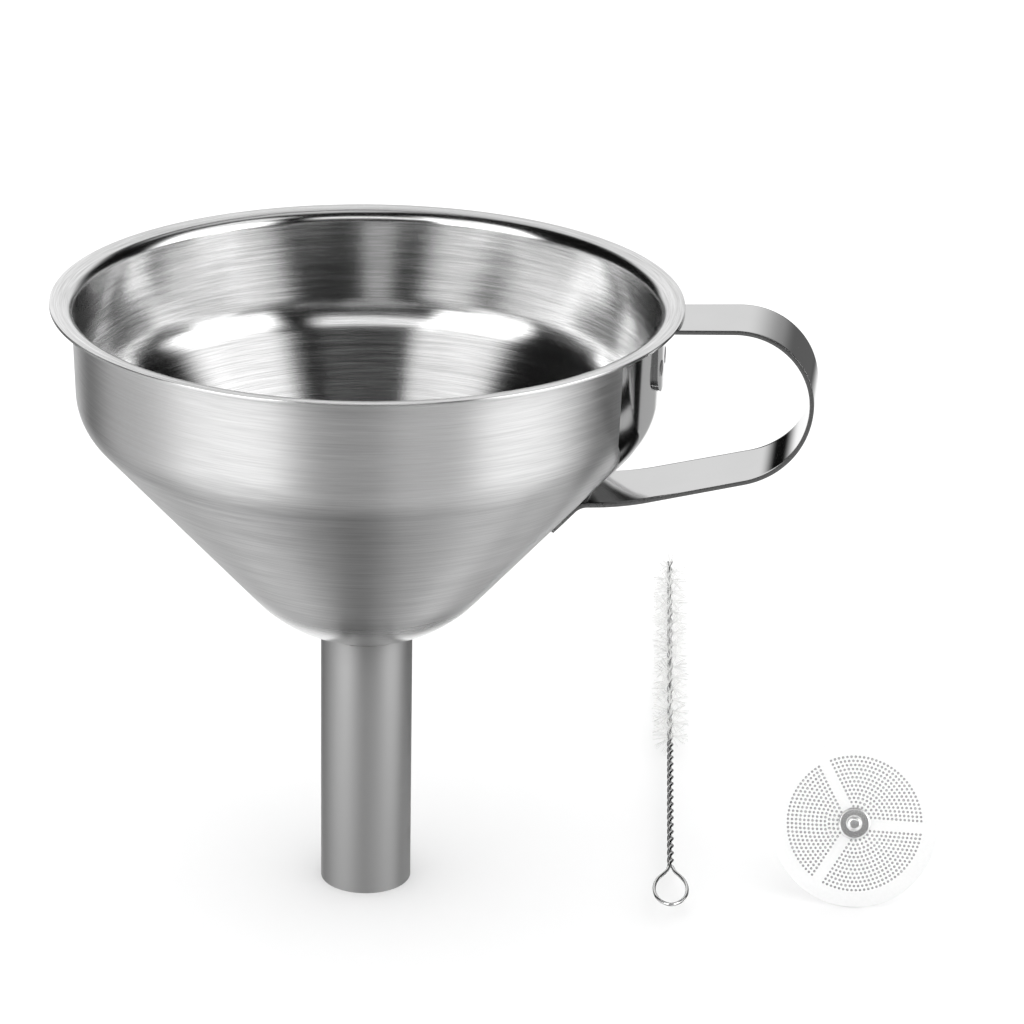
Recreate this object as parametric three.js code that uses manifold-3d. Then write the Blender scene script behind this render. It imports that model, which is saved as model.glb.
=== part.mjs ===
// Stainless steel canning funnel with its drop-in strainer disc and its cleaning brush.
// Millimetres, +Z up. The origin is the centre of the spout's mouth, on the surface it stands on.
// The handle points along +X. Beside the spout, the strainer leans back on its edge and the brush lies down.

import * as THREE from 'three';
import { mergeVertices } from 'three/addons/utils/BufferGeometryUtils.js';
import Module from 'manifold-3d';

const wasm = await Module();
wasm.setup();

// Driving dimensions
const gap = 0.3; // clearance kept between pieces that are welded or pressed together
const degreesPerStep = 10; // how finely bends are stepped, unless a piece says otherwise
const pinFacets = 24; // sides of the smallest round pieces

const bowl = {
  sheet: 0.6,
  rimRadius: 65,
  lipUnderside: 132.0, // height of the lip's lower face at its outer edge
  lipRise: 8, // degrees the lip tips up towards its edge
  collarTop: 60.0, // outer radius of the upright collar where the lip leaves it
  collarFoot: [59.4, 108.45], // corner between collar and cone, before it is rounded
  coneFoot: [18.1, 61.45], // corner between cone and dished bottom, before it is rounded
  neckAngle: 73.9, // degrees from vertical of the dished bottom where it meets the spout
  lipBend: 2.4,
  collarBend: 11.6,
  bottomBend: 30.4,
  facets: 64,
};

const spout = { outerRadius: 9.7, wall: 0.55, topGap: 0.4, facets: 48 };

// Section of the weld round the spout's top, as [out, up] from where tube and bowl meet
const weldBead = [[0, 0], [0, -1.1], [0.45, -1.0], [0.95, -0.55], [1.15, 0.1]];

const strap = {
  thickness: 0.9,
  upperWidth: 16.4,
  footWidth: 19.4,
  tabRound: 5.5, // corner radius of the two welded tabs
  upperTab: 21, // lengths at either end that follow the round of the bowl
  footTab: 13,
  hugFade: 14, // length over which that curve across the strap dies out
  bendStep: 8, // degrees
  tabSteps: 8,
  stepLength: 7,
  crossSteps: 6,
  // Centre line seen from the side, as corners [x, z, rounding radius]
  line: [
    [60.75, 116.4, 0],
    [60.75, 130.64, 1.65],
    [96.0, 132.7, 15.2],
    [89.4, 102.4, 17.4],
    [54.0, 93.1, 50],
    [46.5, 92.65, 4],
    [39.6, 84.8, 0],
  ],
};

const spotWeld = { radius: 1.7, side: 4.2, upperHeight: 121.6, footAlong: 5.2, cutLength: 4 };

const strainer = {
  centre: [105.1, 8.5],
  lean: 64, // degrees that the disc is tipped up from lying flat
  radius: 17.9,
  plate: 0.5,
  stemHole: 1.3,
  washerRadius: 3.4,
  washer: 0.6,
  knobRadius: 1.75,
  knobHeight: 5.0,
  knobDome: 1.0,
  domeSteps: 6,
  facets: 64,
};

const brush = {
  loopEnd: [67.6, -13.2], // where the hanging loop ends, on the surface
  turn: 94.9, // degrees from +X of the brush's long axis
  wire: 0.8,
  legSpacing: 0.9,
  loopLength: 17.8,
  bristleStart: 82.6,
  wireEnd: 192.6,
  bristleEnd: 199.5,
  bristleRadius: 4.4,
  bristleBore: 1.15,
  tipRound: 1.2,
  lengthSteps: 150,
  halfSides: 4, // sides in half of the wire's round section
  // Half of the teardrop loop, [along, across], from the twisted wire round to the loop's end
  loop: [[15.6, 1.0], [12.2, 2.7], [8.4, 3.5], [4.4, 3.2], [1.6, 1.9]],
};

const finish = {
  brushedSteel: new THREE.MeshStandardMaterial({ color: 0xc6c8ca, roughness: 0.36, metalness: 1 }),
  satinSteel: new THREE.MeshStandardMaterial({ color: 0xbcbec0, roughness: 0.42, metalness: 1 }),
  polishedSteel: new THREE.MeshStandardMaterial({ color: 0xd8dadc, roughness: 0.08, metalness: 1 }),
  weldSteel: new THREE.MeshStandardMaterial({ color: 0xb4b4b2, roughness: 0.5, metalness: 1 }),
  strainerSteel: new THREE.MeshStandardMaterial({ color: 0xe4e5e6, roughness: 0.3, metalness: 1 }),
  wireSteel: new THREE.MeshStandardMaterial({ color: 0x9c9ea0, roughness: 0.25, metalness: 1 }),
  nylon: new THREE.MeshStandardMaterial({ color: 0xf4f4f2, roughness: 0.5, metalness: 0 }),
};

const group = new THREE.Group();

function addPiece(name, geometry, material, parent = group) {
  const mesh = new THREE.Mesh(geometry, material);
  mesh.name = name;
  parent.add(mesh);
  return mesh;
}

// A run of straight lines through corners [x, y, radius], with each corner rounded by an arc.
function roundedLine(corners, stepDegrees = degreesPerStep) {
  const line = [new THREE.Vector2(corners[0][0], corners[0][1])];
  for (let i = 1; i < corners.length - 1; i++) {
    const [before, corner, after] = [corners[i - 1], corners[i], corners[i + 1]]
      .map((c) => new THREE.Vector2(c[0], c[1]));
    const radius = corners[i][2];
    const back = before.sub(corner).normalize();
    const ahead = after.sub(corner).normalize();
    const opening = Math.acos(back.dot(ahead));
    const centre = back.clone().add(ahead).setLength(radius / Math.sin(opening / 2)).add(corner);
    const reach = radius / Math.tan(opening / 2);
    const first = back.clone().multiplyScalar(reach).add(corner).sub(centre);
    const turn = (Math.PI - opening) * Math.sign(ahead.cross(back));
    const steps = Math.max(2, Math.ceil(Math.abs(turn) / THREE.MathUtils.degToRad(stepDegrees)));
    for (let k = 0; k <= steps; k++) {
      line.push(first.clone().rotateAround(new THREE.Vector2(), (turn * k) / steps).add(centre));
    }
  }
  const last = corners[corners.length - 1];
  line.push(new THREE.Vector2(last[0], last[1]));
  return line;
}

// The same line moved sideways, positive to the left of its direction.
function moveSideways(line, distance) {
  return line.map((point, i) => {
    const into = point.clone().sub(line[Math.max(i - 1, 0)]).normalize();
    const out = line[Math.min(i + 1, line.length - 1)].clone().sub(point).normalize();
    const along = into.clone().add(out).normalize();
    const mitre = Math.max(into.dot(along), out.dot(along));
    return new THREE.Vector2(-along.y, along.x).multiplyScalar(distance / mitre).add(point);
  });
}

// A body of revolution about +Z from a closed profile of [radius, height] points.
function turned(profile, facets) {
  const geometry = new THREE.LatheGeometry([...profile, profile[0]], facets);
  return geometry.rotateX(Math.PI / 2);
}

function ring(innerRadius, outerRadius, bottom, top) {
  return [[innerRadius, top], [innerRadius, bottom], [outerRadius, bottom], [outerRadius, top]]
    .map(([r, z]) => new THREE.Vector2(r, z));
}

// Booleans
function toSolid(geometry) {
  const bare = geometry.clone();
  bare.deleteAttribute('normal');
  bare.deleteAttribute('uv');
  const merged = mergeVertices(bare, 1e-4);
  return new wasm.Manifold(new wasm.Mesh({
    numProp: 3,
    vertProperties: new Float32Array(merged.attributes.position.array),
    triVerts: new Uint32Array(merged.index.array),
  }));
}

function toGeometry(solid) {
  const mesh = solid.getMesh();
  const geometry = new THREE.BufferGeometry();
  geometry.setAttribute('position', new THREE.BufferAttribute(new Float32Array(mesh.vertProperties), 3));
  geometry.setIndex(new THREE.BufferAttribute(new Uint32Array(mesh.triVerts), 1));
  geometry.computeVertexNormals();
  return geometry;
}

// Bowl: dished bottom, cone, upright collar and tipped lip, pressed from one sheet
const neckSlope = Math.tan(THREE.MathUtils.degToRad(bowl.neckAngle));
const boreRadius = spout.outerRadius - spout.wall;
const neckHeight = (radius) => bowl.coneFoot[1] - (bowl.coneFoot[0] - radius) / neckSlope;
const lipSlope = Math.tan(THREE.MathUtils.degToRad(bowl.lipRise));
const lipCorner = bowl.lipUnderside - (bowl.rimRadius - bowl.collarTop) * lipSlope;

const bowlOutside = roundedLine([
  [boreRadius, neckHeight(boreRadius)],
  [...bowl.coneFoot, bowl.bottomBend],
  [...bowl.collarFoot, bowl.collarBend],
  [bowl.collarTop, lipCorner, bowl.lipBend],
  [bowl.rimRadius, bowl.lipUnderside],
]);
const bowlInside = moveSideways(bowlOutside, bowl.sheet);
bowlInside[0].x = boreRadius;
bowlInside[bowlInside.length - 1].x = bowl.rimRadius;
const bowlProfile = [...bowlOutside, ...bowlInside.reverse()];
addPiece('funnel_bowl', turned(bowlProfile, bowl.facets), finish.brushedSteel);

// Spout: a straight tube butted under the bowl, with a weld bead round the joint
const spoutTop = neckHeight(spout.outerRadius) - spout.topGap;
addPiece('spout_tube', turned(ring(boreRadius, spout.outerRadius, 0, spoutTop), spout.facets),
  finish.satinSteel);

const beadInner = spout.outerRadius + gap;
const beadTop = neckHeight(beadInner) - gap;
const beadProfile = weldBead.map(([out, up]) => new THREE.Vector2(beadInner + out, beadTop + up));
addPiece('spout_weld_bead', turned(beadProfile, spout.facets), finish.weldSteel);

// Handle: one bent strap, narrower at the top, whose two tabs follow the round of the bowl
const strapLine = roundedLine(strap.line, strap.bendStep);

function withTabSteps(line) {
  const stations = [line[0]];
  for (let i = 1; i < line.length; i++) {
    const atTab = i === 1 || i === line.length - 1;
    const steps = atTab ? strap.tabSteps : Math.ceil(line[i].distanceTo(line[i - 1]) / strap.stepLength);
    for (let k = 1; k <= steps; k++) {
      stations.push(line[i - 1].clone().lerp(line[i], k / steps));
    }
  }
  return stations;
}

function distancesAlong(stations) {
  const distances = [0];
  for (let i = 1; i < stations.length; i++) {
    distances.push(distances[i - 1] + stations[i].distanceTo(stations[i - 1]));
  }
  return distances;
}

const stations = withTabSteps(strapLine);
const along = distancesAlong(stations);
const strapLength = along[along.length - 1];

function strapHalfWidth(distance) {
  const share = distance / strapLength;
  const full = THREE.MathUtils.lerp(strap.upperWidth, strap.footWidth, share) / 2;
  const fromEnd = Math.min(distance, strapLength - distance);
  const short = Math.max(strap.tabRound - fromEnd, 0);
  return full - strap.tabRound + Math.sqrt(strap.tabRound ** 2 - short ** 2);
}

// How fully the strap follows the round of the bowl: 1 on the tabs, 0 in the hand's reach
function hug(distance) {
  const past = Math.max(Math.min(distance - strap.upperTab, strapLength - strap.footTab - distance), 0);
  return 1 - THREE.MathUtils.smoothstep(past, 0, strap.hugFade);
}

function makeStrap() {
  const near = moveSideways(stations, strap.thickness / 2);
  const far = moveSideways(stations, -strap.thickness / 2);
  const outline = [...near, ...far.slice().reverse()];
  const stationOf = new Map();
  const key = (x, z) => `${x.toFixed(3)},${z.toFixed(3)}`;
  [near, far].forEach((side) => side.forEach((p, i) => stationOf.set(key(p.x, p.y), i)));
  const options = { depth: 1, steps: strap.crossSteps, bevelEnabled: false };
  const geometry = new THREE.ExtrudeGeometry(new THREE.Shape(outline), options);
  const position = geometry.attributes.position;
  for (let i = 0; i < position.count; i++) {
    const [x, z, share] = [position.getX(i), position.getY(i), position.getZ(i)];
    const distance = along[stationOf.get(key(x, z))];
    const y = (0.5 - share) * 2 * strapHalfWidth(distance);
    const pulledIn = x - Math.sqrt(x * x - y * y);
    position.setXYZ(i, x - hug(distance) * pulledIn, y, z);
  }
  return geometry;
}

// Each tab is held by two spot welds: a nugget in the strap on either side of its middle
function spotWeldPlaces() {
  const upper = strap.line[0][0];
  const foot = strap.line[strap.line.length - 1];
  const knee = strap.line[strap.line.length - 2];
  const slope = new THREE.Vector2(knee[0] - foot[0], knee[1] - foot[1]).normalize();
  const footX = foot[0] + slope.x * spotWeld.footAlong;
  const footZ = foot[1] + slope.y * spotWeld.footAlong;
  const places = [];
  for (const [side, sign] of [['left', 1], ['right', -1]]) {
    places.push({ name: `spot_weld_upper_${side}`, x: upper, z: spotWeld.upperHeight, tilt: 0, sign });
    const tilt = Math.atan2(slope.x, slope.y);
    places.push({ name: `spot_weld_foot_${side}`, x: footX, z: footZ, tilt, sign });
  }
  return places;
}

function plug(place, radius, length) {
  const turn = Math.asin((place.sign * spotWeld.side) / place.x);
  const geometry = new THREE.CylinderGeometry(radius, radius, length, pinFacets);
  geometry.rotateZ(Math.PI / 2);
  geometry.rotateY(place.tilt);
  geometry.translate(place.x, 0, place.z);
  return geometry.rotateZ(turn);
}

let strapSolid = toSolid(makeStrap());
for (const place of spotWeldPlaces()) {
  strapSolid = strapSolid.subtract(toSolid(plug(place, spotWeld.radius + gap, spotWeld.cutLength)));
  addPiece(place.name, plug(place, spotWeld.radius, strap.thickness), finish.weldSteel);
}
addPiece('handle_strap', toGeometry(strapSolid), finish.polishedSteel);

// Strainer: a flat disc with a knob through its middle, drawn down on a washer
const lean = THREE.MathUtils.degToRad(strainer.lean);
const strainerGroup = new THREE.Group();
strainerGroup.position.set(...strainer.centre, strainer.radius * Math.sin(lean));
strainerGroup.rotation.x = lean;
group.add(strainerGroup);

const plateProfile = ring(strainer.stemHole, strainer.radius, 0, strainer.plate);
addPiece('strainer_plate', turned(plateProfile, strainer.facets), finish.strainerSteel, strainerGroup);

const washerBottom = strainer.plate + gap;
const washerTop = washerBottom + strainer.washer;
const washerProfile = ring(strainer.stemHole, strainer.washerRadius, washerBottom, washerTop);
addPiece('strainer_washer', turned(washerProfile, pinFacets), finish.strainerSteel, strainerGroup);

const stemRadius = strainer.stemHole - gap;
const knobFoot = washerTop + gap;
const knobProfile = [[0, 0], [stemRadius, 0], [stemRadius, knobFoot], [strainer.knobRadius, knobFoot]];
for (let k = 0; k <= strainer.domeSteps; k++) {
  const angle = (k / strainer.domeSteps) * Math.PI / 2;
  const out = strainer.knobRadius - strainer.knobDome * (1 - Math.cos(angle));
  knobProfile.push([out, strainer.knobHeight - strainer.knobDome * (1 - Math.sin(angle))]);
}
knobProfile.push([0, strainer.knobHeight]);
const knobPoints = knobProfile.map(([r, z]) => new THREE.Vector2(r, z));
const knob = new THREE.LatheGeometry(knobPoints, pinFacets).rotateX(Math.PI / 2);
addPiece('strainer_knob', knob, finish.strainerSteel, strainerGroup);

// Brush: one wire doubled back on itself, with a hanging loop at the bend and bristles between its legs
const brushGroup = new THREE.Group();
brushGroup.position.set(brush.loopEnd[0], brush.loopEnd[1], brush.bristleRadius);
brushGroup.rotation.z = THREE.MathUtils.degToRad(brush.turn);
group.add(brushGroup);

function brushWire() {
  const side = brush.legSpacing / 2;
  const half = brush.loop.map(([x, y]) => new THREE.Vector3(x, y, 0));
  const otherHalf = brush.loop.map(([x, y]) => new THREE.Vector3(x, -y, 0)).reverse();
  const legStart = new THREE.Vector3(brush.loopLength, side, 0);
  const legEnd = new THREE.Vector3(brush.loopLength, -side, 0);
  const loopTip = new THREE.Vector3(brush.wire / 2, 0, 0);
  const path = new THREE.CurvePath();
  path.add(new THREE.LineCurve3(new THREE.Vector3(brush.wireEnd, side, 0), legStart));
  path.add(new THREE.CatmullRomCurve3([legStart, ...half, loopTip, ...otherHalf, legEnd]));
  path.add(new THREE.LineCurve3(legEnd, new THREE.Vector3(brush.wireEnd, -side, 0)));
  const section = new THREE.Shape();
  section.absarc(0, 0, brush.wire / 2, 0, Math.PI * 2);
  const options = {
    steps: brush.lengthSteps,
    curveSegments: brush.halfSides,
    extrudePath: path,
    bevelEnabled: false,
  };
  return new THREE.ExtrudeGeometry(section, options);
}

addPiece('brush_wire', brushWire(), finish.wireSteel, brushGroup);

const sleeveProfile = [
  [brush.bristleBore, brush.bristleEnd],
  [brush.bristleBore, brush.bristleStart],
  [brush.bristleRadius, brush.bristleStart],
  [brush.bristleRadius, brush.bristleEnd - 2 * brush.tipRound],
  [brush.bristleRadius - brush.tipRound, brush.bristleEnd],
].map(([r, x]) => new THREE.Vector2(r, x));
const bristles = turned(sleeveProfile, pinFacets);
bristles.rotateY(Math.PI / 2);
addPiece('brush_bristles', bristles, finish.nylon, brushGroup);

export default group;
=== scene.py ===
import math
import random

import bmesh
import bpy
from mathutils import Matrix, Vector


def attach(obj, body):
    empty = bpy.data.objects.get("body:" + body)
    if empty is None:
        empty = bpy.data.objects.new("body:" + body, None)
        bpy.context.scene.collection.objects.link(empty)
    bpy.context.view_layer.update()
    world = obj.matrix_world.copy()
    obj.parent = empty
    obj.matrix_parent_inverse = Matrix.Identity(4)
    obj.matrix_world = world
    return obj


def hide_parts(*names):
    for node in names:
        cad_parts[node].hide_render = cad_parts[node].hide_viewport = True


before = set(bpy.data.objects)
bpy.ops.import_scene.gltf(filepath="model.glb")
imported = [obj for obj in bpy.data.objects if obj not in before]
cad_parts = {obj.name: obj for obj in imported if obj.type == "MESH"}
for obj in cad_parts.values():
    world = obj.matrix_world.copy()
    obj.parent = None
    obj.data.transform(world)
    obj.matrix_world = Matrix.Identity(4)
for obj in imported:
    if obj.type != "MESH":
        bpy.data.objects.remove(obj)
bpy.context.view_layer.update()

mm = 0.001
up = Vector((0, 0, 1))
touching = 1e-7


# small helpers

def toObject(name, bm, sharpAngle=40):
    mesh = bpy.data.meshes.new(name)
    bm.to_mesh(mesh)
    bm.free()
    mesh.shade_smooth()
    obj = bpy.data.objects.new(name, mesh)
    bpy.context.scene.collection.objects.link(obj)
    mesh.set_sharp_from_angle(angle=math.radians(sharpAngle))
    return obj


def settle(obj, sharpAngle=40):
    # bakes the modifiers into the mesh
    graph = bpy.context.evaluated_depsgraph_get()
    mesh = bpy.data.meshes.new_from_object(obj.evaluated_get(graph))
    obj.modifiers.clear()
    obj.data = mesh
    mesh.shade_smooth()
    mesh.set_sharp_from_angle(angle=math.radians(sharpAngle))
    return obj


def sheetWall(obj, thickness, edgeBevel, offset=-1, segments=2, sharpest=55):
    solid = obj.modifiers.new("wall", "SOLIDIFY")
    solid.thickness = thickness
    solid.offset = offset
    solid.use_even_offset = True
    solid.use_quality_normals = True
    bevel = obj.modifiers.new("edges", "BEVEL")
    bevel.width = edgeBevel
    bevel.segments = segments
    bevel.limit_method = "ANGLE"
    bevel.angle_limit = math.radians(sharpest)
    return settle(obj)


def drawBent(bm, corners, stepAngle=3):
    # a wire through corners (point, bend radius), every bend a true arc
    corners = [(Vector(point), bend) for point, bend in corners]
    tip = bmesh.ops.create_vert(bm, co=corners[0][0])["vert"][0]
    for (before, _), (corner, bend), (after, _) in zip(corners, corners[1:], corners[2:]):
        if bend == 0:
            tip = bmesh.ops.extrude_vert_indiv(bm, verts=[tip])["verts"][0]
            tip.co = corner
            continue
        into, out = (corner - before).normalized(), (after - corner).normalized()
        turn = into.angle(out)
        reach = bend * math.tan(turn / 2)
        tip = bmesh.ops.extrude_vert_indiv(bm, verts=[tip])["verts"][0]
        tip.co = corner - into * reach
        axis = into.cross(out).normalized()
        steps = max(3, math.ceil(math.degrees(turn) / stepAngle))
        arc = bmesh.ops.spin(bm, geom=[tip], cent=tip.co + axis.cross(into) * bend, axis=axis,
                             angle=turn, steps=steps)
        tip = [part for part in arc["geom_last"] if isinstance(part, bmesh.types.BMVert)][0]
    tip = bmesh.ops.extrude_vert_indiv(bm, verts=[tip])["verts"][0]
    tip.co = corners[-1][0]


def turnAboutZ(bm, steps):
    bmesh.ops.spin(bm, geom=bm.verts[:] + bm.edges[:], cent=(0, 0, 0), axis=up,
                   angle=math.tau, steps=steps, use_merge=True)
    bmesh.ops.remove_doubles(bm, verts=bm.verts, dist=touching)
    bmesh.ops.recalc_face_normals(bm, faces=bm.faces)


def polar(radius, height):
    return Vector((radius, 0, height))


def node(tree, kind, **settings):
    made = tree.nodes.new(kind)
    for key, value in settings.items():
        setattr(made, key, value)
    return made


def maths(tree, operation, a, b=None):
    made = node(tree, "ShaderNodeMath", operation=operation)
    for socket, value in zip(made.inputs, (a, b)):
        if hasattr(value, "links"):
            tree.links.new(value, socket)
        elif value is not None:
            socket.default_value = value
    return made.outputs[0]


def vectorMaths(tree, operation, a, b):
    made = node(tree, "ShaderNodeVectorMath", operation=operation)
    for socket, value in zip(made.inputs, (a, b)):
        if hasattr(value, "links"):
            tree.links.new(value, socket)
        else:
            socket.default_value = value
    return made.outputs[0]


def noise(tree, vector, scale, detail=3, roughness=0.5):
    made = node(tree, "ShaderNodeTexNoise")
    made.inputs["Scale"].default_value = scale
    made.inputs["Detail"].default_value = detail
    made.inputs["Roughness"].default_value = roughness
    tree.links.new(vector, made.inputs["Vector"])
    return made.outputs["Fac"]


def spread(tree, value, low, high, fromLow=0.3, fromHigh=0.7):
    made = node(tree, "ShaderNodeMapRange")
    tree.links.new(value, made.inputs["Value"])
    for socket, number in zip(("From Min", "From Max", "To Min", "To Max"), (fromLow, fromHigh, low, high)):
        made.inputs[socket].default_value = number
    return made.outputs["Result"]


def bump(tree, shader, height, strength, distance):
    made = node(tree, "ShaderNodeBump")
    made.inputs["Strength"].default_value = strength
    made.inputs["Distance"].default_value = distance
    tree.links.new(height, made.inputs["Height"])
    tree.links.new(made.outputs["Normal"], shader.inputs["Normal"])


def greyColour(tree, shader, value, tint=(1.0, 1.0, 1.0)):
    made = node(tree, "ShaderNodeCombineColor")
    for socket, share in zip(made.inputs, tint):
        tree.links.new(maths(tree, "MULTIPLY", value, share), socket)
    tree.links.new(made.outputs["Color"], shader.inputs["Base Color"])


# camera and studio

cameraStand = {
    "turn": 9, "aimHeight": 70 * mm, "distance": 805 * mm, "elevation": 22.508,
    "yaw": 2.338, "pitch": 21.522, "roll": 1.113, "lens": 133.97, "sensor": 36, "clipStart": 20 * mm,
}


def makeCamera():
    stand = cameraStand
    data = bpy.data.cameras.new("camera")
    data.lens = stand["lens"]
    data.sensor_width = stand["sensor"]
    data.clip_start = stand["clipStart"]
    camera = bpy.data.objects.new("camera", data)
    bpy.context.scene.collection.objects.link(camera)
    elevation = math.radians(stand["elevation"])
    place = Vector((0, -math.cos(elevation), math.sin(elevation))) * stand["distance"]
    place.z += stand["aimHeight"]
    spin = Matrix.Rotation(math.radians(stand["turn"]), 4, "Z")
    heading = Matrix.Rotation(math.radians(stand["turn"] - stand["yaw"]), 4, "Z")
    tilt = Matrix.Rotation(math.radians(90 - stand["pitch"]), 4, "X")
    roll = Matrix.Rotation(math.radians(stand["roll"]), 4, "Z")
    camera.matrix_world = Matrix.Translation(spin @ place) @ heading @ tilt @ roll
    bpy.context.scene.camera = camera


# Panels on the inside of a round studio tent, in degrees from edge to edge. Azimuth runs to the right from
# the side that the camera is on, and soft is how wide each edge fades.
tentPanels = {
    "leftBox": {
        "azimuth": (-72, -30), "elevation": (0, 42), "soft": ((14, 10), (20, 15)), "radiance": 2.4,
    },
    "leftTop": {
        "azimuth": (-80, -28), "elevation": (42, 66), "soft": ((8, 8), (15, 8)), "radiance": 1.0,
    },
    "leftFill": {
        "azimuth": (-125, -72), "elevation": (-40, 4), "soft": ((30, 14), (20, 12)), "radiance": 0.7,
    },
    "leftTable": {
        "azimuth": (-85, -28), "elevation": (-55, -5), "soft": ((40, 25), (20, 20)), "radiance": 0.9,
    },
    "rightBox": {
        "azimuth": (42, 94), "elevation": (0, 42), "soft": ((12, 20), (20, 15)), "radiance": 2.3,
    },
    "rightTop": {
        "azimuth": (52, 106), "elevation": (42, 70), "soft": ((8, 10), (15, 8)), "radiance": 1.0,
    },
    "frontHigh": {
        "azimuth": (-34, 26), "elevation": (34, 50), "soft": ((6, 12), (6, 6)), "radiance": 1.35,
    },
    "rightTable": {
        "azimuth": (15, 85), "elevation": (-55, -5), "soft": ((30, 25), (20, 20)), "radiance": 0.9,
    },
    "frontTable": {
        "azimuth": (-30, 20), "elevation": (-60, -10), "soft": ((20, 20), (20, 20)), "radiance": 0.55,
    },
    "backTable": {
        "azimuth": (162, 214), "elevation": (-65, -6), "soft": ((12, 20), (20, 10)), "radiance": 1.1,
    },
    "sideTable": {
        "azimuth": (85, 135), "elevation": (-110, -60), "soft": ((25, 25), (25, 25)), "radiance": 0.8,
    },
    "backWall": {
        "azimuth": (156, 202), "elevation": (8, 34), "soft": ((26, 12), (8, 8)), "radiance": 0.85,
    },
    "backStrip": {
        "azimuth": (148, 186), "elevation": (45, 75), "soft": ((6, 4), (10, 10)), "radiance": 0.6,
    },
    "bendGrey": {
        "azimuth": (134, 160), "elevation": (-14, 10), "soft": ((8, 10), (8, 12)), "radiance": 0.12,
    },
    "sparkle": {
        "azimuth": (122, 129), "elevation": (-40, -21.3), "soft": ((2, 2), (2, 1)), "radiance": 3.2,
    },
    "rightGrey": {
        "azimuth": (134, 164), "elevation": (-50, -14), "soft": ((2, 4), (10, 4)), "radiance": 0.4,
    },
}
tentShape = {"radius": 2, "centreHeight": 80 * mm, "segments": 64, "rings": 32, "glow": 0.005}


def smoothBand(tree, value, low, high, soft):
    # 1 between the edges, each fading over its own width
    rise = node(tree, "ShaderNodeMapRange", interpolation_type="SMOOTHSTEP")
    fall = node(tree, "ShaderNodeMapRange", interpolation_type="SMOOTHSTEP")
    for step, edge, width, ends in ((rise, low, soft[0], (0, 1)), (fall, high, soft[1], (1, 0))):
        tree.links.new(value, step.inputs["Value"])
        step.inputs["From Min"].default_value = edge - width / 2
        step.inputs["From Max"].default_value = edge + width / 2
        step.inputs["To Min"].default_value, step.inputs["To Max"].default_value = ends
    return maths(tree, "MULTIPLY", rise.outputs["Result"], fall.outputs["Result"])


def makeTent():
    shape = tentShape
    bm = bmesh.new()
    bmesh.ops.create_uvsphere(bm, u_segments=shape["segments"], v_segments=shape["rings"],
                              radius=shape["radius"])
    tent = toObject("tent", bm)
    tent.matrix_world = (Matrix.Translation((0, 0, shape["centreHeight"]))
                         @ Matrix.Rotation(math.radians(cameraStand["turn"]), 4, "Z"))
    paint = bpy.data.materials.new("tentCloth")
    paint.use_nodes = True
    tree = paint.node_tree
    tree.nodes.clear()
    place = node(tree, "ShaderNodeTexCoord").outputs["Object"]
    xyz = node(tree, "ShaderNodeSeparateXYZ")
    tree.links.new(place, xyz.inputs[0])
    # azimuth 0 is the side that the camera is on
    toward = maths(tree, "MULTIPLY", xyz.outputs[1], -1)
    azimuth = maths(tree, "MULTIPLY", maths(tree, "ARCTAN2", xyz.outputs[0], toward), 180 / math.pi)
    height = maths(tree, "DIVIDE", xyz.outputs[2], shape["radius"])
    elevation = maths(tree, "MULTIPLY", maths(tree, "ARCSINE", height), 180 / math.pi)
    total = None
    for panel in tentPanels.values():
        (left, right), (low, high) = panel["azimuth"], panel["elevation"]
        offset = maths(tree, "SUBTRACT", azimuth, (left + right) / 2)
        wrapped = node(tree, "ShaderNodeMath", operation="WRAP")
        tree.links.new(offset, wrapped.inputs[0])
        wrapped.inputs[1].default_value = 180
        wrapped.inputs[2].default_value = -180
        reach = (right - left) / 2
        across = smoothBand(tree, wrapped.outputs[0], -reach, reach, panel["soft"][0])
        upright = smoothBand(tree, elevation, low, high, panel["soft"][1])
        light = maths(tree, "MULTIPLY", maths(tree, "MULTIPLY", across, upright), panel["radiance"])
        total = light if total is None else maths(tree, "ADD", total, light)
    emission = node(tree, "ShaderNodeEmission")
    tree.links.new(maths(tree, "ADD", total, shape["glow"]), emission.inputs["Strength"])
    output = node(tree, "ShaderNodeOutputMaterial")
    tree.links.new(emission.outputs[0], output.inputs["Surface"])
    paint.cycles.emission_sampling = "NONE"
    tent.data.materials.append(paint)
    for rays in ("visible_camera", "visible_diffuse", "visible_shadow", "visible_transmission"):
        setattr(tent, rays, False)


studioSetup = {"skyStrength": 1.35, "floorSize": 6, "floorColour": (0.9, 0.9, 0.9, 1), "floorRoughness": 0.9}


def makeStudio():
    setup = studioSetup
    scene = bpy.context.scene
    scene.view_settings.view_transform = "Standard"
    world = bpy.data.worlds.new("studio")
    scene.world = world
    world.use_nodes = True
    background = world.node_tree.nodes["Background"]
    background.inputs["Color"].default_value = (1, 1, 1, 1)
    background.inputs["Strength"].default_value = setup["skyStrength"]
    world.cycles_visibility.glossy = False
    bm = bmesh.new()
    bmesh.ops.create_grid(bm, x_segments=1, y_segments=1, size=setup["floorSize"])
    floor = toObject("floor", bm)
    paint = bpy.data.materials.new("floorPaint")
    paint.use_nodes = True
    shader = paint.node_tree.nodes["Principled BSDF"]
    shader.inputs["Base Color"].default_value = setup["floorColour"]
    shader.inputs["Roughness"].default_value = setup["floorRoughness"]
    shader.inputs["Specular IOR Level"].default_value = 0
    floor.data.materials.append(paint)
    floor.visible_glossy = False


# finishes

def newFinish(name):
    finish = bpy.data.materials.new(name)
    finish.use_nodes = True
    return finish, finish.node_tree, finish.node_tree.nodes["Principled BSDF"]


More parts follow.
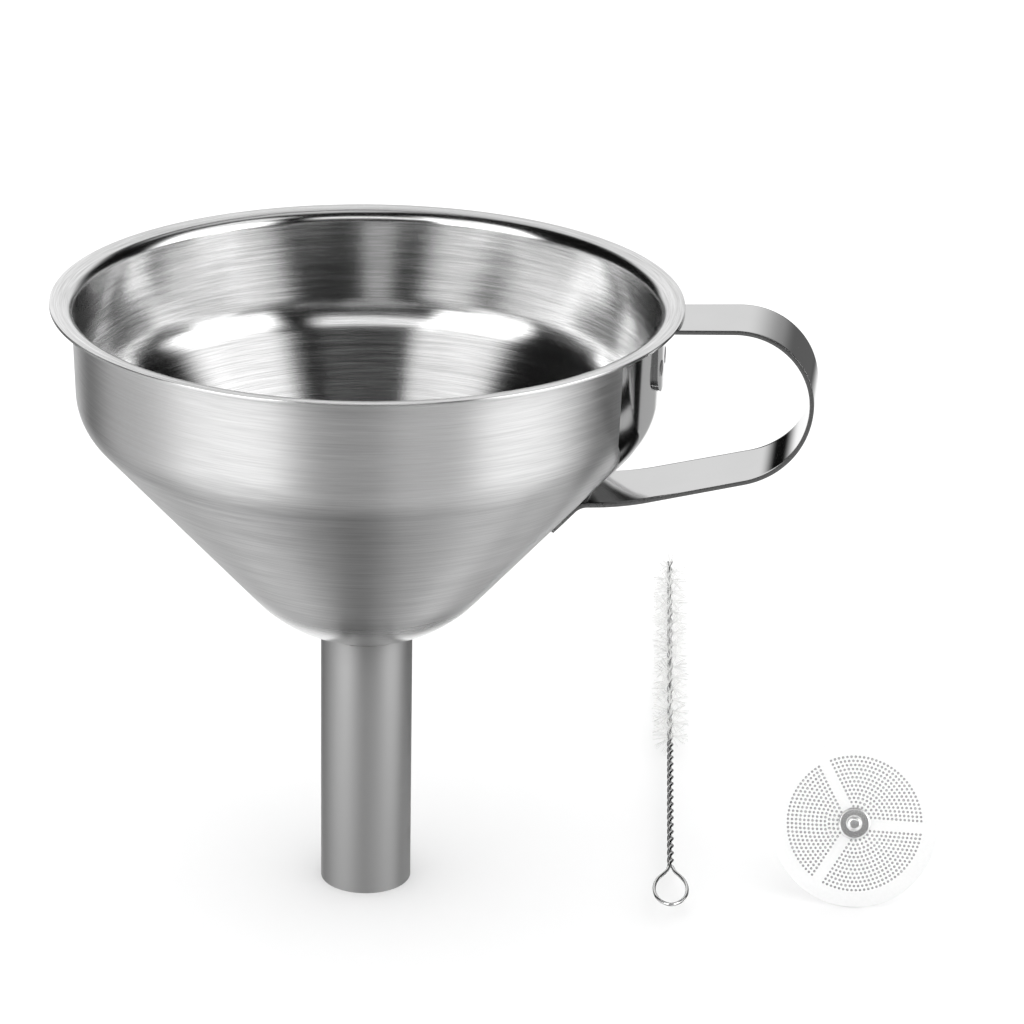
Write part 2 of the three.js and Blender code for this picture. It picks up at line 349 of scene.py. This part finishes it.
brushing = {
    "fine": 3600, "fineShare": 0.55, "broad": 900, "broadShare": 0.45, "stretch": 0.025,
    "detail": 3, "breakUp": 0.6, "cloud": 26, "cloudDetail": 2, "lineShare": 0.8, "cloudShare": 0.2,
    "smoother": 0.85, "rougher": 1.15, "brighter": 0.7, "acrossLines": 0.25, "lineHeight": 0.02 * mm,
}


def ringLines(tree, xyz, steps):
    # noise drawn out into fine rings about the vertical axis
    look = brushing
    squares = maths(tree, "ADD", maths(tree, "POWER", xyz[0], 2), maths(tree, "POWER", xyz[1], 2))
    rise = maths(tree, "ADD", maths(tree, "SQRT", squares), xyz[2])
    lines = node(tree, "ShaderNodeCombineXYZ")
    tree.links.new(maths(tree, "MULTIPLY", xyz[0], look["stretch"]), lines.inputs[0])
    tree.links.new(maths(tree, "MULTIPLY", xyz[1], look["stretch"]), lines.inputs[1])
    tree.links.new(rise, lines.inputs[2])
    return noise(tree, lines.outputs[0], steps, look["detail"], look["breakUp"])


def blend(tree, a, shareA, b, shareB):
    return maths(tree, "ADD", maths(tree, "MULTIPLY", a, shareA), maths(tree, "MULTIPLY", b, shareB))


def turnedSteel(name, grey, roughness, anisotropy, lineDepth, streak, zones=None):
    # steel brushed in rings about the vertical axis
    look = brushing
    finish, tree, shader = newFinish(name)
    shader.inputs["Metallic"].default_value = 1
    shader.inputs["Anisotropic"].default_value = anisotropy
    shader.inputs["Anisotropic Rotation"].default_value = look["acrossLines"]
    place = node(tree, "ShaderNodeTexCoord").outputs["Object"]
    split = node(tree, "ShaderNodeSeparateXYZ")
    tree.links.new(place, split.inputs[0])
    xyz = split.outputs
    fine = ringLines(tree, xyz, look["fine"])
    broad = ringLines(tree, xyz, look["broad"])
    cloud = noise(tree, place, look["cloud"], look["cloudDetail"])
    lines = blend(tree, fine, look["fineShare"], broad, look["broadShare"])
    patchy = blend(tree, lines, look["lineShare"], cloud, look["cloudShare"])
    rough = spread(tree, patchy, roughness * look["smoother"], roughness * look["rougher"])
    tone = spread(tree, patchy, grey * (1 - streak), grey * (1 + streak * look["brighter"]))
    if zones:
        smooth = zones(tree, xyz)
        keep = maths(tree, "SUBTRACT", 1, smooth)
        rough = blend(tree, rough, keep, smooth, polishedZone["roughness"])
        lines = maths(tree, "MULTIPLY", lines, keep)
        tone = blend(tree, tone, keep, smooth, grey)
    tree.links.new(rough, shader.inputs["Roughness"])
    greyColour(tree, shader, tone)
    bump(tree, shader, lines, lineDepth, look["lineHeight"])
    tangent = vectorMaths(tree, "CROSS_PRODUCT", up, place)
    tree.links.new(tangent, shader.inputs["Tangent"])
    return finish


polishedZone = {
    "halfWidthTop": 25.2 * mm, "halfWidthFoot": 10.5 * mm, "top": 112 * mm, "foot": 90 * mm,
    "edge": 0.15 * mm, "lowest": 82 * mm, "front": 10 * mm, "fade": 1 * mm,
    "neck": 63 * mm, "neckEnd": 73 * mm, "neckShare": 0.75, "roughness": 0.09,
}


def polishedPlaces(tree, xyz):
    # 1 where the bowl is polished: round the handle, narrowing down the cone, and partly at the neck
    zone = polishedZone
    half = spread(tree, xyz[2], zone["halfWidthFoot"], zone["halfWidthTop"], zone["foot"], zone["top"])
    inside = maths(tree, "SUBTRACT", half, maths(tree, "ABSOLUTE", xyz[1]))
    across = spread(tree, inside, 0, 1, 0, zone["edge"])
    front = spread(tree, xyz[0], 0, 1, zone["front"], zone["front"] + zone["fade"])
    above = spread(tree, xyz[2], 0, 1, zone["lowest"], zone["lowest"] + zone["fade"])
    handle = maths(tree, "MULTIPLY", maths(tree, "MULTIPLY", across, front), above)
    neck = spread(tree, xyz[2], zone["neckShare"], 0, zone["neck"], zone["neckEnd"])
    return maths(tree, "MAXIMUM", handle, neck)


polishing = {
    "haze": 60, "hazeDetail": 3, "smoother": 0.7, "rougher": 1.5, "darker": 0.97, "brighter": 1.02,
    "ripple": 420, "rippleDetail": 2, "rippleStrength": 0.05, "rippleHeight": 0.01 * mm,
}


def polishedSteel(name, grey, roughness):
    look = polishing
    finish, tree, shader = newFinish(name)
    shader.inputs["Metallic"].default_value = 1
    place = node(tree, "ShaderNodeTexCoord").outputs["Object"]
    haze = noise(tree, place, look["haze"], look["hazeDetail"])
    rough = spread(tree, haze, roughness * look["smoother"], roughness * look["rougher"])
    tree.links.new(rough, shader.inputs["Roughness"])
    greyColour(tree, shader, spread(tree, haze, grey * look["darker"], grey * look["brighter"]))
    ripple = noise(tree, place, look["ripple"], look["rippleDetail"])
    bump(tree, shader, ripple, look["rippleStrength"], look["rippleHeight"])
    return finish


rawLook = {
    "detail": 4, "breakUp": 0.6, "smoother": 0.75, "rougher": 1.3, "darker": 0.88, "brighter": 1.06,
    "strength": 0.3, "height": 0.05 * mm,
}


def rawSteel(name, grey, roughness, grain):
    look = rawLook
    finish, tree, shader = newFinish(name)
    shader.inputs["Metallic"].default_value = 1
    place = node(tree, "ShaderNodeTexCoord").outputs["Object"]
    mottle = noise(tree, place, grain, look["detail"], look["breakUp"])
    rough = spread(tree, mottle, roughness * look["smoother"], roughness * look["rougher"])
    tree.links.new(rough, shader.inputs["Roughness"])
    greyColour(tree, shader, spread(tree, mottle, grey * look["darker"], grey * look["brighter"]))
    bump(tree, shader, mottle, look["strength"], look["height"])
    return finish


frosting = {
    "grain": 1500, "grainDetail": 3, "grainShare": 0.4, "cloud": 45, "cloudDetail": 2, "cloudShare": 0.6,
    "darker": 0.93, "strength": 0.15, "height": 0.02 * mm,
}


def frostedSteel(name, grey, roughness, metallic):
    # pale blasted steel, which scatters as much as it reflects
    look = frosting
    finish, tree, shader = newFinish(name)
    shader.inputs["Metallic"].default_value = metallic
    shader.inputs["Roughness"].default_value = roughness
    place = node(tree, "ShaderNodeTexCoord").outputs["Object"]
    grain = noise(tree, place, look["grain"], look["grainDetail"])
    cloud = noise(tree, place, look["cloud"], look["cloudDetail"])
    both = blend(tree, grain, look["grainShare"], cloud, look["cloudShare"])
    greyColour(tree, shader, spread(tree, both, grey * look["darker"], grey))
    bump(tree, shader, grain, look["strength"], look["height"])
    return finish


nylonLook = {
    "cloud": 300, "cloudDetail": 2, "tones": (0.55, 0.85), "tint": (1.0, 1.0, 0.985), "roughness": 0.35,
    "scatter": 0.4, "scatterRadius": 1 * mm, "scatterScale": 0.5,
}


def nylonFilament():
    look = nylonLook
    finish, tree, shader = newFinish("nylonFilament")
    place = node(tree, "ShaderNodeTexCoord").outputs["Object"]
    tone = spread(tree, noise(tree, place, look["cloud"], look["cloudDetail"]), *look["tones"])
    greyColour(tree, shader, tone, look["tint"])
    shader.inputs["Roughness"].default_value = look["roughness"]
    shader.inputs["Subsurface Weight"].default_value = look["scatter"]
    shader.inputs["Subsurface Radius"].default_value = [look["scatterRadius"]] * 3
    shader.inputs["Subsurface Scale"].default_value = look["scatterScale"]
    return finish


makeCamera()
makeStudio()
makeTent()
print("studio ready")

outsideSteel = turnedSteel("outsideSteel", grey=0.82, roughness=0.40, anisotropy=0.92, lineDepth=0.5,
                           streak=0.2, zones=polishedPlaces)
insideSteel = turnedSteel("insideSteel", grey=0.88, roughness=0.17, anisotropy=0.9, lineDepth=0.8,
                          streak=0.35)
satinSteel = turnedSteel("satinSteel", grey=0.5, roughness=0.58, anisotropy=0.5, lineDepth=0.2, streak=0.06)
mirrorSteel = polishedSteel("mirrorSteel", grey=0.74, roughness=0.06)
discSteel = frostedSteel("discSteel", grey=0.98, roughness=0.45, metallic=0.2)
# near-black hole walls: painted shade that makes the strainer's holes read dark
holeWallPaintedShade = rawSteel("holeWallPaintedShade", grey=0.05, roughness=0.6, grain=900)
knobSteel = frostedSteel("knobSteel", grey=0.95, roughness=0.2, metallic=0.75)
# rough cut edge, darkened as painted shade along the strap's edges
cutEdgeAndPaintedShade = rawSteel("cutEdgeAndPaintedShade", grey=0.22, roughness=0.3, grain=2500)
weldSteel = rawSteel("weldSteel", grey=0.55, roughness=0.38, grain=900)
wireSteel = polishedSteel("wireSteel", grey=0.9, roughness=0.2)
whiteNylon = nylonFilament()
print("finishes ready")


def hand(obj, body, material, slot, *nodes):
    # gives a finished piece its finish, its moving body and the plain solids that it stands for
    obj.data.materials.clear()
    obj.data.materials.append(material)
    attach(obj, body)
    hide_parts(*nodes)


# bowl, spout and weld

bowlShape = {
    "sheet": 0.6 * mm, "rimRadius": 65 * mm, "lipUnderside": 132.0 * mm, "lipRise": 8,
    "collarTop": 60.0 * mm, "collarFoot": (59.4 * mm, 108.45 * mm), "coneFoot": (18.1 * mm, 61.45 * mm),
    "neckAngle": 73.9, "lipBend": 2.4 * mm, "collarBend": 11.6 * mm, "bottomBend": 30.4 * mm,
    "edge": 0.12 * mm, "steps": 256, "insideFacesUp": 0.5,
}
spoutShape = {"outer": 9.7 * mm, "wall": 0.55 * mm, "edge": 0.1 * mm, "steps": 160}
beadShape = {
    "radius": 0.75 * mm, "outShare": 0.35, "downShare": 0.2, "sides": 14, "steps": 200,
    "ripples": 50, "rippleShare": 0.06,
}


def neckHeight(radius):
    footRadius, footHeight = bowlShape["coneFoot"]
    return footHeight - (footRadius - radius) / math.tan(math.radians(bowlShape["neckAngle"]))


def makeBowl():
    shape = bowlShape
    bore = spoutShape["outer"] - spoutShape["wall"]
    lipFall = (shape["rimRadius"] - shape["collarTop"]) * math.tan(math.radians(shape["lipRise"]))
    bm = bmesh.new()
    drawBent(bm, [
        (polar(bore, neckHeight(bore)), 0),
        (polar(*shape["coneFoot"]), shape["bottomBend"]),
        (polar(*shape["collarFoot"]), shape["collarBend"]),
        (polar(shape["collarTop"], shape["lipUnderside"] - lipFall), shape["lipBend"]),
        (polar(shape["rimRadius"], shape["lipUnderside"]), 0),
    ])
    turnAboutZ(bm, shape["steps"])
    bowl = sheetWall(toObject("funnelBowl", bm), shape["sheet"], edgeBevel=shape["edge"])
    hand(bowl, "funnel", outsideSteel, "brushed_steel", "funnel_bowl")
    bowl.data.materials.append(insideSteel)
    for face in bowl.data.polygons:
        outward = face.center.xy.normalized().dot(face.normal.xy)
        face.material_index = int(outward < 0 or face.normal.z > shape["insideFacesUp"])


def makeSpout():
    shape = spoutShape
    bm = bmesh.new()
    drawBent(bm, [(polar(shape["outer"], 0), 0), (polar(shape["outer"], neckHeight(shape["outer"])), 0)])
    turnAboutZ(bm, shape["steps"])
    spout = sheetWall(toObject("spoutTube", bm), shape["wall"], edgeBevel=shape["edge"])
    hand(spout, "funnel", satinSteel, "satin_steel", "spout_tube")


def makeWeldBead():
    shape, tube = beadShape, spoutShape["outer"]
    ringRadius = tube + shape["radius"] * shape["outShare"]
    height = neckHeight(tube) - shape["radius"] * shape["downShare"]
    bm = bmesh.new()
    bmesh.ops.create_circle(bm, segments=shape["sides"], radius=shape["radius"])
    upright = Matrix.Translation(polar(ringRadius, height)) @ Matrix.Rotation(math.pi / 2, 4, "X")
    bmesh.ops.transform(bm, matrix=upright, verts=bm.verts)
    turnAboutZ(bm, shape["steps"])
    for vert in bm.verts:
        ripple = math.sin(math.atan2(vert.co.y, vert.co.x) * shape["ripples"])
        centre = vert.co.xy.normalized() * ringRadius
        out = vert.co - Vector((centre.x, centre.y, height))
        vert.co += out * shape["rippleShare"] * ripple
    bead = toObject("spoutWeldBead", bm)
    hand(bead, "funnel", weldSteel, "weld_steel", "spout_weld_bead")


makeBowl()
makeSpout()
makeWeldBead()
print("bowl and spout ready")


# handle

strapShape = {
    "thickness": 0.9 * mm, "upperWidth": 16.4 * mm, "footWidth": 19.4 * mm, "tabRound": 5.5 * mm,
    "upperTab": 21 * mm, "footTab": 13 * mm, "hugFade": 14 * mm, "across": 24, "edge": 0.2 * mm,
    "edgeSegments": 3, "cutFacesOut": 0.8,
    # centre line seen from the side: x, z, bend radius in mm
    "line": [(60.75, 116.4, 0), (60.75, 130.64, 1.65), (96.0, 132.7, 15.2), (89.4, 102.4, 17.4),
             (54.0, 93.1, 50), (46.5, 92.65, 4), (39.6, 84.8, 0)],
}
spotShape = {
    "side": 4.2 * mm, "upperHeight": 121.6 * mm, "footAlong": 5.2 * mm, "steps": 40,
    # half section of the dished weld mark: radius, height above the tab in mm
    "dish": [(0, 0.02), (0.9, 0.05), (1.35, 0.14), (1.65, 0.12), (1.9, -0.05), (0, -0.2)],
}


def endStations(end, inner, rounding, count=8):
    # close stations where the tab's corners are rounded
    heading = (inner - end).normalized()
    shares = [1 - math.cos(math.pi / 2 * k / count) for k in range(count + 1)]
    return [(end + heading * rounding * share, 0) for share in shares]


def markAlong(bm):
    # distance from the start of the wire, kept on each vertex
    layer = bm.verts.layers.float.new("along")
    bm.verts.ensure_lookup_table()
    vert, edge, distance = bm.verts[0], None, 0.0
    while True:
        vert[layer] = distance
        onward = [link for link in vert.link_edges if link != edge]
        if not onward:
            return layer, distance
        edge = onward[0]
        distance += edge.calc_length()
        vert = edge.other_vert(vert)


def makeStrap():
    shape = strapShape
    corners = [(Vector((x, 0, z)) * mm, bend * mm) for x, z, bend in shape["line"]]
    start = endStations(corners[0][0], corners[1][0], shape["tabRound"])
    finish = endStations(corners[-1][0], corners[-2][0], shape["tabRound"])
    bm = bmesh.new()
    drawBent(bm, start + corners[1:-1] + finish[::-1])
    layer, length = markAlong(bm)
    wire = bm.edges[:]
    grown = bmesh.ops.extrude_edge_only(bm, edges=wire)["geom"]
    grownVerts = [part for part in grown if isinstance(part, bmesh.types.BMVert)]
    # a strip 1 wide, which the loop below brings to its real width
    bmesh.ops.translate(bm, verts=grownVerts, vec=(0, 1, 0))
    cross = [edge for edge in bm.edges if abs(edge.verts[0].co.y - edge.verts[1].co.y) > 0.5]
    bmesh.ops.subdivide_edges(bm, edges=cross, cuts=shape["across"] - 1, use_grid_fill=True)
    for vert in bm.verts:
        along, share = vert[layer], vert.co.y * 2 - 1
        full = (shape["upperWidth"] + (shape["footWidth"] - shape["upperWidth"]) * along / length) / 2
        short = max(shape["tabRound"] - min(along, length - along), 0)
        half = full - shape["tabRound"] + math.sqrt(max(shape["tabRound"] ** 2 - short ** 2, 0))
        past = max(min(along - shape["upperTab"], length - shape["footTab"] - along), 0) / shape["hugFade"]
        past = min(past, 1)
        hug = 1 - past * past * (3 - 2 * past)
        y = share * half
        vert.co.y = y
        vert.co.x -= hug * (vert.co.x - math.sqrt(vert.co.x ** 2 - y ** 2))
    bmesh.ops.recalc_face_normals(bm, faces=bm.faces)
    strap = toObject("handleStrap", bm)
    sheetWall(strap, shape["thickness"], offset=0, edgeBevel=shape["edge"],
              segments=shape["edgeSegments"])
    hand(strap, "funnel", mirrorSteel, "polished_steel", "handle_strap")
    # the cut edges are left rough and dark grey; the dark grey is painted shade for the dark line along the
    # strap's edges
    strap.data.materials.append(cutEdgeAndPaintedShade)
    for face in strap.data.polygons:
        face.material_index = int(abs(face.normal.y) > shape["cutFacesOut"])


def makeSpotWelds():
    shape, line = spotShape, strapShape["line"]
    foot, knee = Vector(line[-1][:2]) * mm, Vector(line[-2][:2]) * mm
    slope = (knee - foot).normalized()
    footSpot = foot + slope * shape["footAlong"]
    spots = {"upper": (line[0][0] * mm, shape["upperHeight"], 0),
             "foot": (footSpot.x, footSpot.y, math.atan2(slope.x, slope.y))}
    face = strapShape["thickness"] / 2
    for where, (x, z, lean) in spots.items():
        for side, sign in (("left", 1), ("right", -1)):
            bm = bmesh.new()
            drawBent(bm, [(polar(radius, height) * mm, 0) for radius, height in shape["dish"]])
            turnAboutZ(bm, shape["steps"])
            turn = math.asin(sign * shape["side"] / x)
            place = (Matrix.Rotation(turn, 4, "Z") @ Matrix.Translation((x, 0, z))
                     @ Matrix.Rotation(lean, 4, "Y") @ Matrix.Translation((face, 0, 0))
                     @ Matrix.Rotation(math.pi / 2, 4, "Y"))
            bmesh.ops.transform(bm, matrix=place, verts=bm.verts)
            bmesh.ops.recalc_face_normals(bm, faces=bm.faces)
            spot = toObject(f"spotWeld_{where}_{side}", bm)
            hand(spot, "funnel", weldSteel, "weld_steel", f"spot_weld_{where}_{side}")


makeStrap()
makeSpotWelds()
print("handle ready")


# strainer

strainerShape = {
    "centre": (105.1 * mm, 8.5 * mm), "lean": 64, "radius": 17.9 * mm, "plate": 0.5 * mm,
    "rings": 13, "firstRing": 3.71 * mm, "lastRing": 14.32 * mm, "hole": 0.25 * mm, "holeBack": 0.11 * mm,
    "spokes": 3, "spokeHalf": 1.45 * mm, "pitch": 0.9 * mm, "segments": 160, "edge": 0.12 * mm,
    "punchSides": 10, "smallest": 0.9, "variation": 0.15, "thinnest": 0.02 * mm, "seed": 3,
    "rimAngle": 60, "wallFaces": 0.8, "margin": 1 * mm, "trimSteps": 64, "trimBendAngle": 12,
    # half sections of the turned pieces: radius, height above the underside, bend radius in mm
    "washer": [(1.3, 0.52, 0), (3.1, 0.52, 0), (3.45, 0.6, 0), (3.45, 1.1, 0.2), (3.1, 1.38, 0.3),
               (1.3, 1.38, 0), (1.3, 0.52, 0)],
    "knob": [(0, 4.95, 0), (1.72, 4.95, 1.0), (1.78, 1.9, 0.5), (1.2, 1.2, 0), (0.9, 0.0, 0), (0, 0.0, 0)],
}


def strainerPlace():
    shape = strainerShape
    lean = math.radians(shape["lean"])
    return (Matrix.Translation((*shape["centre"], shape["radius"] * math.sin(lean)))
            @ Matrix.Rotation(lean, 4, "X"))


def makeStrainerPlate():
    shape = strainerShape
    bm = bmesh.new()
    bmesh.ops.create_cone(bm, cap_ends=True, segments=shape["segments"], radius1=shape["radius"],
                          radius2=shape["radius"], depth=shape["plate"])
    bmesh.ops.translate(bm, verts=bm.verts, vec=(0, 0, shape["plate"] / 2))
    rim = [edge for edge in bm.edges if edge.calc_face_angle(0) > math.radians(shape["rimAngle"])]
    bmesh.ops.bevel(bm, geom=rim, offset=shape["edge"], segments=2, profile=0.5, affect="EDGES", material=-1)
    plate = toObject("strainerPlate", bm)
    # the holes narrow towards the back
    chance = random.Random(shape["seed"])
    taper = (shape["hole"] - shape["holeBack"]) / shape["plate"]
    bm = bmesh.new()
    sector = math.tau / shape["spokes"]
    step = (shape["lastRing"] - shape["firstRing"]) / (shape["rings"] - 1)
    for ring in range(shape["rings"]):
        radius = shape["firstRing"] + ring * step
        margin = math.asin(shape["spokeHalf"] / radius)
        count = round((sector - 2 * margin) * radius / shape["pitch"])
        for spoke in range(shape["spokes"]):
            for k in range(count + 1):
                angle = spoke * sector + margin + (sector - 2 * margin) * k / count
                place = (Matrix.Rotation(angle, 4, "Z")
                         @ Matrix.Translation((radius, 0, shape["plate"] / 2)))
                size = shape["smallest"] + shape["variation"] * chance.random()
                middle = (shape["hole"] + shape["holeBack"]) / 2 * size
                reach = min(middle - shape["thinnest"], taper * shape["plate"])
                bmesh.ops.create_cone(bm, cap_ends=True, segments=shape["punchSides"],
                                      radius1=middle - reach, radius2=middle + reach,
                                      depth=2 * reach / taper, matrix=place)
    punches = toObject("punches", bm)
    cut = plate.modifiers.new("holes", "BOOLEAN")
    cut.operation = "DIFFERENCE"
    cut.solver = "MANIFOLD"
    cut.object = punches
    settle(plate, sharpAngle=30)
    bpy.data.objects.remove(punches)
    inner = shape["radius"] - shape["margin"]
    walls = [abs(face.normal.z) < shape["wallFaces"] and face.center.xy.length < inner
             for face in plate.data.polygons]
    plate.data.transform(strainerPlace())
    hand(plate, "strainer", discSteel, "strainer_steel", "strainer_plate")
    # the hole walls get the near-black finish, which is painted shade in the holes
    plate.data.materials.append(holeWallPaintedShade)
    for face, wall in zip(plate.data.polygons, walls):
        face.material_index = int(wall)


def makeStrainerTrim():
    shape = strainerShape
    for name, cadNode in (("washer", "strainer_washer"), ("knob", "strainer_knob")):
        bm = bmesh.new()
        line = [(polar(radius * mm, height * mm), bend * mm) for radius, height, bend in shape[name]]
        drawBent(bm, line, shape["trimBendAngle"])
        bmesh.ops.remove_doubles(bm, verts=bm.verts, dist=touching)
        turnAboutZ(bm, shape["trimSteps"])
        piece = toObject("strainer" + name.capitalize(), bm, sharpAngle=35)
        piece.data.transform(strainerPlace())
        hand(piece, "strainer", knobSteel, "strainer_steel", cadNode)


makeStrainerPlate()
makeStrainerTrim()
print("strainer ready")


# brush

brushShape = {
    "loopEnd": (67.6 * mm, -13.2 * mm), "turn": 94.9, "axisHeight": 4.4 * mm, "floorGap": 0.05 * mm,
    # the brush is drawn along X in mm, and brushPlace brings it to size
    "wire": 0.8, "wireStep": 0.5, "wireSmoothness": 2, "wireSharpAngle": 50, "loopLength": 17.8,
    "wireEnd": 192.6, "handlePitch": 7.0, "bristlePitch": 13.4,
    "bristleStart": 82.6, "bristleEnd": 192.0, "bristleLength": 4.35,
    # half of the hanging loop from the twisted wire to its end: along, across
    "loop": [(15.6, 1.0), (12.2, 2.7), (8.4, 3.5), (4.4, 3.2), (1.6, 1.9), (0.4, 0.0)],
    "filaments": 700, "filament": 0.07, "tip": 0.9, "sides": 3, "cuts": 3, "spread": 0.28,
    "shorter": 0.1, "lean": 0.04, "seed": 7,
    # the last share of the filaments leans towards the tip, by at least and up to so much more, in radians
    "lastShare": 0.025, "lastLean": 0.2, "lastLeanMore": 0.9,
    # waviness of a filament: size, then rate and start for each direction
    "wave": 0.2, "waveRates": (1.7, 2.3, 3.1), "waveStarts": (0, 1, 2),
}


def twistAt(along):
    shape = brushShape
    handle = min(along, shape["bristleStart"]) - shape["loopLength"]
    bristled = max(along - shape["bristleStart"], 0)
    return math.tau * (handle / shape["handlePitch"] + bristled / shape["bristlePitch"])


def brushPlace():
    shape = brushShape
    return (Matrix.Translation((*shape["loopEnd"], shape["axisHeight"]))
            @ Matrix.Rotation(math.radians(shape["turn"]), 4, "Z") @ Matrix.Diagonal((mm, mm, mm, 1)))


def smoothThrough(points, steps=8):
    # Catmull-Rom curve through the points
    line = []
    ends = [2 * points[0] - points[1], *points, 2 * points[-1] - points[-2]]
    for a, b, c, d in zip(ends, ends[1:], ends[2:], ends[3:]):
        for k in range(steps):
            t = k / steps
            line.append((2 * b + (c - a) * t + (2 * a - 5 * b + 4 * c - d) * t ** 2
                         + (3 * b - a - 3 * c + d) * t ** 3) / 2)
    return line + [points[-1]]


def makeBrushWire():
    shape = brushShape
    side = shape["wire"] / 2
    leg = []
    along = shape["wireEnd"]
    while along > shape["loopLength"]:
        twist = twistAt(along)
        leg.append(Vector((along, side * math.cos(twist), side * math.sin(twist))))
        along -= shape["wireStep"]
    neck = Vector((shape["loopLength"], side, 0))
    half = [Vector((x, y, 0)) for x, y in shape["loop"]]
    across = Vector((1, -1, 1))
    loop = smoothThrough([neck, *half, *[p * across for p in half[-2::-1]], neck * across])
    route = leg + loop + [p * Vector((1, -1, -1)) for p in reversed(leg)]
    data = bpy.data.curves.new("brushWire", "CURVE")
    data.dimensions = "3D"
    data.bevel_depth = side
    data.bevel_resolution = shape["wireSmoothness"]
    data.use_fill_caps = True
    spline = data.splines.new("POLY")
    spline.points.add(len(route) - 1)
    for point, co in zip(spline.points, route):
        point.co = (*co, 1)
    wire = bpy.data.objects.new("brushWire", data)
    bpy.context.scene.collection.objects.link(wire)
    mesh = bpy.data.meshes.new_from_object(wire.evaluated_get(bpy.context.evaluated_depsgraph_get()))
    bpy.data.objects.remove(wire)
    mesh.transform(brushPlace())
    wire = bpy.data.objects.new("brushWire", mesh)
    bpy.context.scene.collection.objects.link(wire)
    mesh.shade_smooth()
    mesh.set_sharp_from_angle(angle=math.radians(shape["wireSharpAngle"]))
    hand(wire, "brush", wireSteel, "wire_steel", "brush_wire")


def makeBristles():
    # filaments gripped between the two legs of the wire, so they leave it in a double spiral
    shape = brushShape
    chance = random.Random(shape["seed"])
    bm = bmesh.new()
    for k in range(shape["filaments"]):
        share = (k + chance.random()) / shape["filaments"]
        along = shape["bristleStart"] + share * (shape["bristleEnd"] - shape["bristleStart"])
        turn = twistAt(along) + math.pi / 2 + chance.gauss(0, shape["spread"]) + math.pi * (k % 2)
        length = shape["bristleLength"] * (1 - shape["shorter"] * chance.random() ** 2)
        last = max(share - 1 + shape["lastShare"], 0) / shape["lastShare"]
        lean = chance.gauss(0, shape["lean"])
        lean += last * (shape["lastLean"] + shape["lastLeanMore"] * chance.random())
        place = (Matrix.Translation((along, 0, 0)) @ Matrix.Rotation(turn, 4, "X")
                 @ Matrix.Rotation(lean, 4, "Y") @ Matrix.Translation((0, 0, length / 2)))
        bmesh.ops.create_cone(bm, cap_ends=True, segments=shape["sides"], radius1=shape["filament"],
                              radius2=shape["filament"] * shape["tip"], depth=length, matrix=place)
    longEdges = [edge for edge in bm.edges if edge.calc_length() > shape["bristleLength"] / 2]
    bmesh.ops.subdivide_edges(bm, edges=longEdges, cuts=shape["cuts"])
    for vert in bm.verts:
        out = Vector((0, vert.co.y, vert.co.z)).length / shape["bristleLength"]
        along = vert.co.x
        wave = Vector([math.sin(along * rate + start)
                       for rate, start in zip(shape["waveRates"], shape["waveStarts"])])
        vert.co += wave * shape["wave"] * out ** 2
    bmesh.ops.transform(bm, matrix=brushPlace(), verts=bm.verts)
    for vert in bm.verts:
        vert.co.z = max(vert.co.z, shape["floorGap"])
    bristles = toObject("brushBristles", bm, sharpAngle=60)
    hand(bristles, "brush", whiteNylon, "nylon", "brush_bristles")


makeBrushWire()
makeBristles()
print("brush ready")
